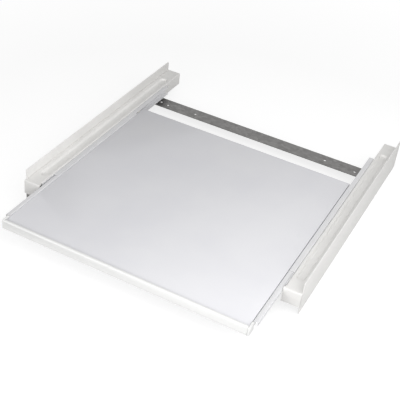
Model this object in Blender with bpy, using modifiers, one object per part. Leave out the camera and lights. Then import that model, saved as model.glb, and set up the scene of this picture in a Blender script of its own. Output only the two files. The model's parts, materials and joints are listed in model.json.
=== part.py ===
# Washer dryer stacking kit: two folded steel rails, a shelf that pulls out on roller runners, and a
# flat bar that ties the rails together at the back. Units are metres, +Z is up, the shelf pulls out
# towards -Y, and the origin is under the middle of the kit at the height of the skirts' lower edges.
# The right hand pieces are modelled first, and the left hand ones are their mirror images.

import math

import bmesh
import bpy
from mathutils import Matrix, Vector

# Kit
KIT_WIDTH = 0.600
RAIL_LENGTH = 0.577
SHELF_REACH = 0.132
SEAT_GAP = 0.0003
CUT_OVERRUN = 0.002
FLUSH_SETBACK = 0.00003
MERGE_DISTANCE = 0.00001
LEFT = -1
RIGHT = 1

# Side plates
PLATE_HEIGHT = 0.073
PLATE_SHEET = 0.0015
PLATE_BACK_RADIUS = 0.005
PLATE_FRONT_RADIUS = 0.003

# Ledge channels
LEDGE_HEIGHT = 0.051
LEDGE_SHEET = 0.0012
BOX_WIDTH = 0.0345
BOX_UNDERSIDE = 0.0216
BOX_FLANGE = 0.024
WELD_LEG = 0.022
WALL_SETBACK = 0.006
CAP_REACH = 0.005
CAP_UNDERSIDE = 0.0195
CAP_OVERHANG = 0.0018
CAP_EAR_DEPTH = 0.001
CAP_CLEARANCE = 0.0004
FOLD_RADIUS = 0.0021
RELIEF_MARGIN = 0.0006
RELIEF_LENGTH = 0.0015
CAP_BEND_RADIUS = 0.0042

# Embossed trough in each ledge
TROUGH_WIDTH = 0.018
TROUGH_DEPTH = 0.0042
TROUGH_DRAFT = 0.0042
TROUGH_OFFSET = 0.0150
TROUGH_FRONT = 0.029
TROUGH_BACK = 0.046
TROUGH_RINGS = 5
TROUGH_ARC_STEPS = 10

# Fixed runners
SIDE_SPACE = 0.0125
RUNNER_SHEET = 0.0011
RUNNER_TOP_STEP = 0.0003
RUNNER_HEIGHT = 0.0197
RUNNER_FLANGE = 0.0100
RUNNER_FRONT = 0.005
RUNNER_LENGTH = 0.497
RUNNER_BEND_RADIUS = 0.0016
LIFT_OUT_LENGTH = 0.041
ROLLER_WINDOW_LENGTH = 0.024
STOP_HEIGHT = 0.0025
STOP_WIDTH = 0.006
STOP_INSET = 0.002
FRONT_STOP_SETBACK = 0.095
REAR_STOP_SETBACK = 0.020

# Drawer runners on the shelf
HOOK_CLEARANCE = 0.0004
HOOK_SIDE_CLEARANCE = 0.0009
LIP_HEIGHT = 0.0084
SHELF_FLANGE = 0.0124
DRAWER_RUNNER_FRONT = 0.027
DRAWER_RUNNER_LENGTH = 0.483
HOOK_TAIL_CUT = 0.026
DRAWER_BEND_RADIUS = 0.0013

# Rollers and their axles
FRONT_ROLLER_DIAMETER = 0.0196
FRONT_ROLLER_WIDTH = 0.0052
FRONT_ROLLER_SETBACK = 0.012
REAR_ROLLER_DIAMETER = 0.0166
REAR_ROLLER_WIDTH = 0.0064
REAR_ROLLER_INSET = 0.012
ROLLER_SIDE_GAP = 0.0006
ROLLER_EDGE = 0.0008
ROLLER_RECESS = 0.0007
ROLLER_RIM = 0.0026
ROLLER_BOSS = 0.0016
AXLE_DIAMETER = 0.0046
AXLE_HEAD_DIAMETER = 0.0080
AXLE_HEAD = 0.0010
AXLE_CLEARANCE = 0.0003

# Shelf
SHELF_THICKNESS = 0.016
SHELF_TOP_STEP = 0.0007
SHELF_BACK = 0.380
SHELF_EDGE = 0.0006
MOULDING_SHEET = 0.0018
MOULDING_TOP_LIP = 0.0062
MOULDING_BOTTOM_LIP = 0.012
MOULDING_RADIUS = 0.0030
END_CAP_THICKNESS = 0.0040
END_CAP_DEPTH = 0.0265
END_CAP_RADIUS = 0.0030
END_CAP_EDGE = 0.0010

# Rear bar
BAR_BACK_SETBACK = 0.0832
BAR_WIDTH = 0.0373
BAR_THICKNESS = 0.0020
BAR_END_INSET = 0.008
BAR_HOLE_DIAMETER = 0.0062
BAR_HOLE_SPACING = 0.330
BAR_PAIR_INSET = 0.035
BAR_PAIR_STEP = 0.020
BAR_PAIR_SHIFT = 0.0035

# Fasteners
SCREW_DIAMETER = 0.0038
SCREW_HEAD_DIAMETER = 0.0080
SCREW_HEAD = 0.0018
SCREW_CROWN = 0.0005
HOLE_CLEARANCE = 0.0003
SHELF_SCREW_DEPTH = 0.011
BAR_SCREW_RISE = 0.0070
BAR_SCREW_INSET = 0.0075
BAR_SCREW_SPACING = 0.0095
BAR_SCREW_HEAD_DIAMETER = 0.0070
RIVET_DIAMETER = 0.0034
RIVET_HEAD_DIAMETER = 0.0062
RIVET_TAIL_DIAMETER = 0.0056
RIVET_TAIL = 0.0014
RUNNER_RIVET_SHARES = (0.090, 0.520, 0.955)
SHELF_SCREW_SHARES = (0.060, 0.480, 0.900)

# Facets
SHARP_ANGLE = 35
FOLD_ANGLE = 40
FOLD_SEGMENTS = 3
ROUND_STEPS = 28
SMALL_ROUND_STEPS = 14
HOLE_STEPS = 16
CORNER_STEPS = 5

# Places that follow from the sizes above
SIDE = KIT_WIDTH / 2
FRONT = (SHELF_REACH - RAIL_LENGTH) / 2
BACK = FRONT + RAIL_LENGTH
WALL_X = SIDE - BOX_WIDTH
PANEL_X = WALL_X - SIDE_SPACE
PLATE_INNER_X = SIDE - PLATE_SHEET

RUNNER_TOP = LEDGE_HEIGHT - RUNNER_TOP_STEP
RUNNER_BOTTOM = RUNNER_TOP - RUNNER_HEIGHT
RUNNER_OUTER_X = WALL_X - SEAT_GAP
RUNNER_WEB_X = RUNNER_OUTER_X - RUNNER_SHEET
RUNNER_MOUTH_X = RUNNER_OUTER_X - RUNNER_FLANGE
RUNNER_FRONT_Y = FRONT + RUNNER_FRONT
RUNNER_BACK_Y = RUNNER_FRONT_Y + RUNNER_LENGTH
TRACK = RUNNER_BOTTOM + RUNNER_SHEET

HOOK_TOP = RUNNER_TOP - RUNNER_SHEET - HOOK_CLEARANCE
HOOK_UNDERSIDE = HOOK_TOP - RUNNER_SHEET
SHELF_TOP = HOOK_TOP - SHELF_TOP_STEP
SHELF_BOTTOM = SHELF_TOP - SHELF_THICKNESS
DRAWER_WEB_X = PANEL_X + SEAT_GAP + RUNNER_SHEET
LIP_OUTER_X = RUNNER_WEB_X - HOOK_SIDE_CLEARANCE
LIP_INNER_X = LIP_OUTER_X - RUNNER_SHEET
SHELF_FLANGE_BOTTOM = SHELF_BOTTOM - SEAT_GAP - RUNNER_SHEET
SHELF_FRONT_Y = FRONT - SHELF_REACH
SHELF_BACK_Y = FRONT + SHELF_BACK
DRAWER_FRONT_Y = SHELF_FRONT_Y + DRAWER_RUNNER_FRONT
DRAWER_BACK_Y = DRAWER_FRONT_Y + DRAWER_RUNNER_LENGTH

FRONT_ROLLER_Y = RUNNER_FRONT_Y + FRONT_ROLLER_SETBACK
FRONT_ROLLER_Z = HOOK_UNDERSIDE - SEAT_GAP - FRONT_ROLLER_DIAMETER / 2
REAR_ROLLER_Y = DRAWER_BACK_Y - REAR_ROLLER_INSET
REAR_ROLLER_Z = TRACK + SEAT_GAP + REAR_ROLLER_DIAMETER / 2

BAR_TOP = BOX_UNDERSIDE - SEAT_GAP
BAR_BOTTOM = BAR_TOP - BAR_THICKNESS
BAR_Y = BACK - BAR_BACK_SETBACK - BAR_WIDTH / 2


def clear_scene():
    for obj in list(bpy.data.objects):
        bpy.data.objects.remove(obj, do_unlink=True)
    for group in list(bpy.data.collections):
        bpy.data.collections.remove(group)


clear_scene()
kit = bpy.data.collections.new("washer_dryer_stacking_kit")
cutters = bpy.data.collections.new("cutters")
for collection in (kit, cutters):
    bpy.context.scene.collection.children.link(collection)
cutters.hide_render = True


def make_material(name, color, roughness, metallic):
    material = bpy.data.materials.new(name)
    material.use_nodes = True
    shader = material.node_tree.nodes["Principled BSDF"]
    shader.inputs["Base Color"].default_value = (*color, 1.0)
    shader.inputs["Roughness"].default_value = roughness
    shader.inputs["Metallic"].default_value = metallic
    return material


WHITE_POWDER_COAT = make_material("white_powder_coat", (0.80, 0.80, 0.77), 0.45, 0.0)
WHITE_EPOXY = make_material("white_epoxy", (0.80, 0.80, 0.80), 0.35, 0.0)
WHITE_MELAMINE = make_material("white_melamine", (0.72, 0.72, 0.76), 0.40, 0.0)
WHITE_PLASTIC = make_material("white_plastic", (0.83, 0.83, 0.81), 0.35, 0.0)
NYLON = make_material("natural_nylon", (0.75, 0.74, 0.70), 0.40, 0.0)
ZINC = make_material("galvanised_steel", (0.45, 0.45, 0.45), 0.45, 1.0)
PLATED = make_material("zinc_plated_steel", (0.60, 0.60, 0.58), 0.30, 1.0)


def side_name(name, side):
    return name + ("_right" if side == RIGHT else "_left")


def new_object(name, data, material, parent=None):
    obj = bpy.data.objects.new(name, data)
    kit.objects.link(obj)
    data.materials.append(material)
    obj.parent = parent
    return obj


def new_cutter(name, bm):
    mesh = bpy.data.meshes.new(name)
    bmesh.ops.recalc_face_normals(bm, faces=bm.faces)
    bm.to_mesh(mesh)
    bm.free()
    obj = bpy.data.objects.new(name, mesh)
    cutters.objects.link(obj)
    obj.hide_render = True
    obj.display_type = "WIRE"
    return obj


def cut(obj, cutter):
    modifier = obj.modifiers.new(cutter.name, "BOOLEAN")
    modifier.operation = "DIFFERENCE"
    modifier.solver = "EXACT"
    modifier.object = cutter


def join(obj, tool):
    modifier = obj.modifiers.new(tool.name, "BOOLEAN")
    modifier.operation = "UNION"
    modifier.solver = "EXACT"
    modifier.object = tool


def smooth(mesh):
    mesh.shade_smooth()
    mesh.set_sharp_from_angle(angle=math.radians(SHARP_ANGLE))


def add_box(bm, low, high):
    """A box between two corners, whichever way round they are."""
    low = Vector(low)
    high = Vector(high)
    size = high - low
    matrix = Matrix.Translation((low + high) / 2) @ Matrix.Diagonal((*map(abs, size), 1))
    bmesh.ops.create_cube(bm, size=1, matrix=matrix)


def box_cutter(name, low, high):
    bm = bmesh.new()
    add_box(bm, low, high)
    return new_cutter(name, bm)


def pin_cutter(name, centres, axis, radius, length, end_radius=None, steps=HOLE_STEPS):
    """Cylinders or cones along an axis, each about its own centre."""
    turn = Vector((0, 0, 1)).rotation_difference(Vector(axis)).to_matrix().to_4x4()
    bm = bmesh.new()
    for centre in centres:
        bmesh.ops.create_cone(
            bm,
            cap_ends=True,
            segments=steps,
            radius1=radius,
            radius2=radius if end_radius is None else end_radius,
            depth=length,
            matrix=Matrix.Translation(centre) @ turn,
        )
    return new_cutter(name, bm)


def surface_to_mesh(name, bm, spot, outward, side):
    """Turns an open surface so that its face at a spot points outward, then mirrors it for the left."""
    bmesh.ops.recalc_face_normals(bm, faces=bm.faces)
    bm.normal_update()
    nearest = min(bm.faces, key=lambda face: (face.calc_center_median() - Vector(spot)).length)
    if nearest.normal.dot(Vector(outward)) < 0:
        bmesh.ops.reverse_faces(bm, faces=bm.faces)
    if side == LEFT:
        bmesh.ops.scale(bm, vec=(-1, 1, 1), verts=bm.verts)
        bmesh.ops.reverse_faces(bm, faces=bm.faces)
    mesh = bpy.data.meshes.new(name)
    bm.to_mesh(mesh)
    bm.free()
    smooth(mesh)
    return mesh


def bend_and_thicken(obj, radius, sheet, limit="ANGLE"):
    bend = obj.modifiers.new("bends", "BEVEL")
    bend.width = radius
    bend.segments = FOLD_SEGMENTS
    bend.limit_method = limit
    bend.angle_limit = math.radians(FOLD_ANGLE)
    thickness = obj.modifiers.new("sheet", "SOLIDIFY")
    thickness.thickness = sheet
    thickness.offset = -1
    thickness.use_even_offset = True


def fold(name, points, start, end, radius, sheet, material, parent=None, side=RIGHT):
    """A folded strip. The points are its outside line, with the sheet on the left of the travel.
    They lie in XZ and the strip runs along Y, or in YZ with the strip along X when side is None."""
    along_x = side is None
    bm = bmesh.new()
    if along_x:
        line = [bm.verts.new((start, a, b)) for a, b in points]
        length = Vector((end - start, 0, 0))
    else:
        line = [bm.verts.new((a, start, b)) for a, b in points]
        length = Vector((0, end - start, 0))
    edges = [bm.edges.new(pair) for pair in zip(line, line[1:])]
    swept = bmesh.ops.extrude_edge_only(bm, edges=edges)["geom"]
    bmesh.ops.translate(bm, vec=length, verts=[v for v in swept if isinstance(v, bmesh.types.BMVert)])
    run = points[1][0] - points[0][0]
    rise = points[1][1] - points[0][1]
    a = (points[1][0] + points[0][0]) / 2
    b = (points[1][1] + points[0][1]) / 2
    middle = (start + end) / 2
    spot = (middle, a, b) if along_x else (a, middle, b)
    outward = (0, rise, -run) if along_x else (rise, 0, -run)
    mesh = surface_to_mesh(name, bm, spot, outward, RIGHT if along_x else side)
    obj = new_object(name, mesh, material, parent)
    bend_and_thicken(obj, radius, sheet)
    return obj


def rounded_outline(corners):
    """Corners as (x, y, radius), each rounded with a short arc."""
    points = []
    count = len(corners)
    for index, (x, y, radius) in enumerate(corners):
        here = Vector((x, y))
        if not radius:
            points.append(here)
            continue
        before = (Vector(corners[index - 1][:2]) - here).normalized()
        after = (Vector(corners[(index + 1) % count][:2]) - here).normalized()
        half = before.angle(after) / 2
        centre = here + (before + after).normalized() * radius / math.sin(half)
        first = here + before * radius / math.tan(half) - centre
        last = here + after * radius / math.tan(half) - centre
        for step in range(CORNER_STEPS + 1):
            share = step / CORNER_STEPS
            arm = first.lerp(last, share).normalized()
            points.append(centre + arm * radius)
    return points


def flat_plate(name, corners, x_low, x_high, material, parent=None, edge=0.0):
    """A flat outline in YZ with a thickness along X, drawn as a filled 2D curve."""
    curve = bpy.data.curves.new(name, "CURVE")
    curve.dimensions = "2D"
    curve.fill_mode = "BOTH"
    curve.extrude = abs(x_high - x_low) / 2 - edge
    curve.bevel_depth = edge
    curve.bevel_resolution = 0
    curve.offset = -edge
    outline = rounded_outline(corners)
    spline = curve.splines.new("POLY")
    spline.points.add(len(outline) - 1)
    for point, (a, b) in zip(spline.points, outline):
        point.co = (a, b, 0, 1)
    spline.use_cyclic_u = True
    obj = new_object(name, curve, material, parent)
    obj.rotation_euler = (math.pi / 2, 0, math.pi / 2)
    obj.location = ((x_low + x_high) / 2, 0, 0)
    return obj


def turned(name, profile, location, axis, steps, material, parent=None, closed=False):
    """Turns a profile of (radius, height) points about an axis through the location."""
    bm = bmesh.new()
    verts = [bm.verts.new((radius, 0, height)) for radius, height in profile]
    for pair in zip(verts, verts[1:]):
        bm.edges.new(pair)
    if closed:
        bm.edges.new((verts[-1], verts[0]))
    mesh = bpy.data.meshes.new(name)
    bm.to_mesh(mesh)
    bm.free()
    obj = new_object(name, mesh, material, parent)
    obj.location = location
    obj.rotation_mode = "QUATERNION"
    obj.rotation_quaternion = Vector((0, 0, 1)).rotation_difference(Vector(axis))
    screw = obj.modifiers.new("turn", "SCREW")
    screw.axis = "Z"
    screw.angle = 2 * math.pi
    screw.steps = steps
    screw.render_steps = steps
    screw.use_merge_vertices = True
    screw.merge_threshold = MERGE_DISTANCE
    screw.use_smooth_shade = True
    return obj


def stadium(centre_x, y_low, y_high, half_width, height):
    """A loop with straight sides along Y and a half circle at each end."""
    points = []
    for end_y, turn in ((y_high - half_width, 0), (y_low + half_width, math.pi)):
        for step in range(TROUGH_ARC_STEPS + 1):
            angle = turn + math.pi * step / TROUGH_ARC_STEPS
            x = centre_x + half_width * math.cos(angle)
            y = end_y + half_width * math.sin(angle)
            points.append((x, y, height))
    return points


def closed_loop(bm, points):
    """The vertices of a closed line through the points, and its edges."""
    verts = [bm.verts.new(point) for point in points]
    return verts, [bm.edges.new(pair) for pair in zip(verts, verts[1:] + verts[:1])]


def ledge_channel(side):
    """One sheet: ledge with its embossed trough, inner wall, bottom flange, weld leg and front cap."""
    leg_x = PLATE_INNER_X - SEAT_GAP
    trough_x = WALL_X + TROUGH_OFFSET
    cap_y = FRONT - CAP_REACH
    cap_x = WALL_X - CAP_OVERHANG
    widen_y = FRONT - CAP_CLEARANCE
    ear_y = FRONT + CAP_EAR_DEPTH
    wall_y = FRONT + WALL_SETBACK
    relief_y = wall_y - RELIEF_LENGTH
    relief = FOLD_RADIUS + RELIEF_MARGIN
    # Each long fold ends in a relief notch. The two halves of the ledge meet on the trough's middle line.
    outer_half = [
        (trough_x, BACK),
        (leg_x, BACK),
        (leg_x, wall_y),
        (leg_x - relief, wall_y),
        (leg_x - relief, relief_y),
        (leg_x, relief_y),
        (leg_x, widen_y),
        (SIDE, widen_y),
        (SIDE, cap_y),
    ]
    inner_half = [
        (trough_x, cap_y),
        (cap_x, cap_y),
        (cap_x, ear_y),
        (WALL_X, ear_y),
        (WALL_X, relief_y),
        (WALL_X + relief, relief_y),
        (WALL_X + relief, wall_y),
        (WALL_X, wall_y),
        (WALL_X, BACK),
    ]
    bm = bmesh.new()
    weight = bm.edges.layers.float.new("bevel_weight_edge")
    outline = outer_half + inner_half
    rim, rim_edges = closed_loop(bm, [(x, y, LEDGE_HEIGHT) for x, y in outline])
    half = len(outer_half)
    leg_edge = rim_edges[1]
    cap_edges = rim_edges[half - 1:half + 1]
    wall_edge = rim_edges[-2]

    # The trough's sides follow half a cosine wave from the ledge down to its floor.
    rings = []
    for ring in range(TROUGH_RINGS):
        share = ring / (TROUGH_RINGS - 1)
        inset = TROUGH_DRAFT * share
        drop = TROUGH_DEPTH * (1 - math.cos(math.pi * share)) / 2
        rings.append(
            closed_loop(
                bm,
                stadium(
                    trough_x,
                    FRONT + TROUGH_FRONT + inset,
                    BACK - TROUGH_BACK - inset,
                    TROUGH_WIDTH / 2 - inset,
                    LEDGE_HEIGHT - drop,
                ),
            )
        )
    mouth = rings[0][0]
    back_turn = TROUGH_ARC_STEPS // 2
    front_turn = back_turn + len(mouth) // 2
    bm.faces.new(rim[:half + 1] + mouth[front_turn:] + mouth[:back_turn + 1])
    bm.faces.new(rim[half:] + rim[:1] + mouth[back_turn:front_turn + 1])
    for (_, upper), (_, lower) in zip(rings, rings[1:]):
        bmesh.ops.bridge_loops(bm, edges=upper + lower)
    bm.faces.new(rings[-1][0])

    def flap(edges, offset, share):
        """Extrudes edges as one flap, and marks their fold with a share of the cap's bend radius."""
        for edge in edges:
            edge[weight] = share
        geometry = bmesh.ops.extrude_edge_only(bm, edges=edges)["geom"]
        new_verts = [item for item in geometry if isinstance(item, bmesh.types.BMVert)]
        bmesh.ops.translate(bm, vec=offset, verts=new_verts)
        return [e for e in geometry if isinstance(e, bmesh.types.BMEdge) and set(e.verts) <= set(new_verts)]

    fold_share = FOLD_RADIUS / CAP_BEND_RADIUS
    flap([leg_edge], (0, 0, -WELD_LEG), fold_share)
    flap(cap_edges, (0, 0, CAP_UNDERSIDE - LEDGE_HEIGHT), 1)
    wall_foot = flap([wall_edge], (0, 0, BOX_UNDERSIDE - LEDGE_HEIGHT), fold_share)
    flap(wall_foot, (BOX_FLANGE, 0, 0), fold_share)

    name = side_name("ledge_channel", side)
    floor_middle = (trough_x, (FRONT + BACK) / 2, LEDGE_HEIGHT - TROUGH_DEPTH)
    mesh = surface_to_mesh(name, bm, floor_middle, (0, 0, 1), side)
    obj = new_object(name, mesh, WHITE_POWDER_COAT)
    bend_and_thicken(obj, CAP_BEND_RADIUS, LEDGE_SHEET, "WEIGHT")
    return obj


def side_plate(side):
    corners = [
        (FRONT, 0, 0),
        (BACK, 0, 0),
        (BACK, PLATE_HEIGHT, PLATE_BACK_RADIUS),
        (FRONT, PLATE_HEIGHT, PLATE_FRONT_RADIUS),
    ]
    name = side_name("side_plate", side)
    return flat_plate(name, corners, side * PLATE_INNER_X, side * SIDE, WHITE_POWDER_COAT)


def fixed_runner(side):
    """A channel open towards the shelf. Its top flange is cut away at the front, where the shelf's
    rear rollers drop in, and its bottom flange has a window for the front roller."""
    section = [
        (RUNNER_MOUTH_X, RUNNER_BOTTOM),
        (RUNNER_OUTER_X, RUNNER_BOTTOM),
        (RUNNER_OUTER_X, RUNNER_TOP),
        (RUNNER_MOUTH_X, RUNNER_TOP),
    ]
    name = side_name("fixed_runner", side)
    radius = RUNNER_BEND_RADIUS
    obj = fold(
        name, section, RUNNER_FRONT_Y, RUNNER_BACK_Y, radius, RUNNER_SHEET, WHITE_EPOXY, side=side
    )
    inner = side * (RUNNER_MOUTH_X - CUT_OVERRUN)
    web = side * (RUNNER_OUTER_X - RUNNER_BEND_RADIUS)
    middle = (RUNNER_TOP + RUNNER_BOTTOM) / 2
    front = RUNNER_FRONT_Y - CUT_OVERRUN
    cut(obj, box_cutter(
        side_name("cut_lift_out", side),
        (inner, front, middle),
        (web, RUNNER_FRONT_Y + LIFT_OUT_LENGTH, RUNNER_TOP + CUT_OVERRUN),
    ))
    cut(obj, box_cutter(
        side_name("cut_roller_window", side),
        (inner, front, RUNNER_BOTTOM - CUT_OVERRUN),
        (web, RUNNER_FRONT_Y + ROLLER_WINDOW_LENGTH, middle),
    ))
    # Two tabs pressed up from the bottom flange stop the rear roller at each end of its travel.
    stop_x = side * (RUNNER_MOUTH_X + STOP_INSET)
    stop_low = RUNNER_BOTTOM + RUNNER_SHEET / 2
    stops = bmesh.new()
    for face_y, back_y in (
        (RUNNER_FRONT_Y + FRONT_STOP_SETBACK, -RUNNER_SHEET),
        (RUNNER_BACK_Y - REAR_STOP_SETBACK, RUNNER_SHEET),
    ):
        add_box(
            stops,
            (stop_x, face_y, stop_low),
            (stop_x + side * STOP_WIDTH, face_y + back_y, TRACK + STOP_HEIGHT),
        )
    join(obj, new_cutter(side_name("stop_tabs", side), stops))
    return obj


def drawer_runner(side, parent):
    """A strip folded round the shelf's lower edge, with a hook above that rides on the front roller."""
    section = [
        (PANEL_X - SHELF_FLANGE, SHELF_FLANGE_BOTTOM),
        (DRAWER_WEB_X, SHELF_FLANGE_BOTTOM),
        (DRAWER_WEB_X, HOOK_UNDERSIDE),
        (LIP_INNER_X, HOOK_UNDERSIDE),
        (LIP_INNER_X, HOOK_TOP - LIP_HEIGHT),
    ]
    name = side_name("drawer_runner", side)
    radius = DRAWER_BEND_RADIUS
    obj = fold(
        name, section, DRAWER_FRONT_Y, DRAWER_BACK_Y, radius, RUNNER_SHEET, WHITE_EPOXY, parent, side
    )
    web = side * (DRAWER_WEB_X + SEAT_GAP)
    outer = side * (LIP_OUTER_X + CUT_OVERRUN)
    low = HOOK_TOP - LIP_HEIGHT - CUT_OVERRUN
    high = HOOK_TOP + CUT_OVERRUN
    cut(obj, box_cutter(
        side_name("cut_hook_tail", side),
        (web, DRAWER_BACK_Y - HOOK_TAIL_CUT, low),
        (outer, DRAWER_BACK_Y + CUT_OVERRUN, high),
    ))
    return obj


def roller(name, diameter, width, location, axis, parent=None):
    """A moulded roller: rounded tread, a shallow recess in each face and a plain bore."""
    outer = diameter / 2
    bore = AXLE_DIAMETER / 2 + AXLE_CLEARANCE
    half = width / 2
    floor = half - ROLLER_RECESS
    rim = outer - ROLLER_RIM
    boss = bore + ROLLER_BOSS
    upper = [
        (bore, half),
        (boss, half),
        (boss + ROLLER_EDGE / 2, floor),
        (rim, floor),
        (rim + ROLLER_EDGE / 2, half),
        (outer - ROLLER_EDGE, half),
        (outer, half - ROLLER_EDGE),
    ]
    lower = [(radius, -height) for radius, height in reversed(upper)]
    return turned(name, upper + lower, location, axis, ROUND_STEPS, NYLON, parent, closed=True)


def axle(name, shank, location, axis, parent=None):
    """A plain shank under a thin crowned head, which holds the roller on. Its origin is under the head."""
    radius = AXLE_DIAMETER / 2
    head = AXLE_HEAD_DIAMETER / 2
    profile = [
        (0, AXLE_HEAD),
        (radius, AXLE_HEAD),
        (head, AXLE_HEAD / 2),
        (head, 0),
        (radius, 0),
        (radius, -shank),
        (0, -shank),
    ]
    return turned(name, profile, location, axis, SMALL_ROUND_STEPS * 2, PLATED, parent)


def screw(name, shank, location, axis, parent=None):
    """A pan head screw with its origin under the head and its point along the axis."""
    radius = SCREW_DIAMETER / 2
    head = SCREW_HEAD_DIAMETER / 2
    profile = [
        (0, shank),
        (radius / 3, shank),
        (radius, shank - SCREW_DIAMETER),
        (radius, 0),
        (head, 0),
        (head, -SCREW_HEAD + SCREW_CROWN),
        (head - SCREW_CROWN, -SCREW_HEAD),
        (0, -SCREW_HEAD),
    ]
    return turned(name, profile, location, axis, SMALL_ROUND_STEPS, PLATED, parent)


def countersunk_screw(name, shank, location, axis):
    """A screw whose head lies flush in a cone. Its origin is on the face that it is flush with."""
    radius = SCREW_DIAMETER / 2
    head = BAR_SCREW_HEAD_DIAMETER / 2
    profile = [
        (0, shank),
        (radius / 3, shank),
        (radius, shank - SCREW_DIAMETER),
        (radius, head - radius),
        (head, FLUSH_SETBACK),
        (0, FLUSH_SETBACK),
    ]
    return turned(name, profile, location, axis, SMALL_ROUND_STEPS, PLATED)


def runner_rivet(name, location, axis):
    """A flush rivet: its head fills the cone pressed into the runner's web, its tail is in the box."""
    radius = RIVET_DIAMETER / 2
    head = RIVET_HEAD_DIAMETER / 2
    tail = RIVET_TAIL_DIAMETER / 2
    grip = RUNNER_SHEET + SEAT_GAP + LEDGE_SHEET + SEAT_GAP
    profile = [
        (0, grip + RIVET_TAIL),
        (radius, grip + RIVET_TAIL),
        (tail, grip + RIVET_TAIL / 2),
        (tail, grip),
        (radius, grip),
        (radius, RUNNER_SHEET - SEAT_GAP),
        (head - SEAT_GAP, FLUSH_SETBACK),
        (0, FLUSH_SETBACK),
    ]
    return turned(name, profile, location, axis, SMALL_ROUND_STEPS, PLATED)


# The shelf and everything that slides with it hang on this empty.
shelf_slide = bpy.data.objects.new("shelf_slide", None)
kit.objects.link(shelf_slide)

# Shelf panel: a melamine faced board
bm = bmesh.new()
panel_front = SHELF_FRONT_Y + MOULDING_SHEET + SEAT_GAP
add_box(bm, (-PANEL_X, panel_front, SHELF_BOTTOM), (PANEL_X, SHELF_BACK_Y, SHELF_TOP))
panel_mesh = bpy.data.meshes.new("shelf_panel")
bm.to_mesh(panel_mesh)
bm.free()
shelf_panel = new_object("shelf_panel", panel_mesh, WHITE_MELAMINE, shelf_slide)
arris = shelf_panel.modifiers.new("arris", "BEVEL")
arris.width = SHELF_EDGE
arris.segments = 1

# Front moulding: a strip whose two lips grip the panel's front edge
lip_top = SHELF_TOP + SEAT_GAP + MOULDING_SHEET
lip_bottom = SHELF_BOTTOM - SEAT_GAP - MOULDING_SHEET
front_moulding = fold(
    "front_moulding",
    [
        (SHELF_FRONT_Y + MOULDING_TOP_LIP, lip_top),
        (SHELF_FRONT_Y, lip_top),
        (SHELF_FRONT_Y, lip_bottom),
        (SHELF_FRONT_Y + MOULDING_BOTTOM_LIP, lip_bottom),
    ],
    -PANEL_X,
    PANEL_X,
    MOULDING_RADIUS,
    MOULDING_SHEET,
    WHITE_PLASTIC,
    shelf_slide,
    side=None,
)

# Rear bar with its row of holes
bm = bmesh.new()
bar_half = SIDE - BAR_END_INSET
add_box(bm, (-bar_half, BAR_Y - BAR_WIDTH / 2, BAR_BOTTOM), (bar_half, BAR_Y + BAR_WIDTH / 2, BAR_TOP))
bar_mesh = bpy.data.meshes.new("rear_bar")
bm.to_mesh(bar_mesh)
bm.free()
rear_bar = new_object("rear_bar", bar_mesh, ZINC)
bar_middle = (BAR_TOP + BAR_BOTTOM) / 2
bar_holes = []
pair_x = bar_half - BAR_PAIR_INSET
for side in (LEFT, RIGHT):
    bar_holes.append((side * BAR_HOLE_SPACING / 2, BAR_Y, bar_middle))
    bar_holes.append((side * pair_x, BAR_Y, bar_middle))
    bar_holes.append((side * (pair_x - BAR_PAIR_STEP), BAR_Y - BAR_PAIR_SHIFT, bar_middle))
bar_cut_length = BAR_THICKNESS + CUT_OVERRUN
cut(rear_bar, pin_cutter("cut_bar_holes", bar_holes, (0, 0, 1), BAR_HOLE_DIAMETER / 2, bar_cut_length))

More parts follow.
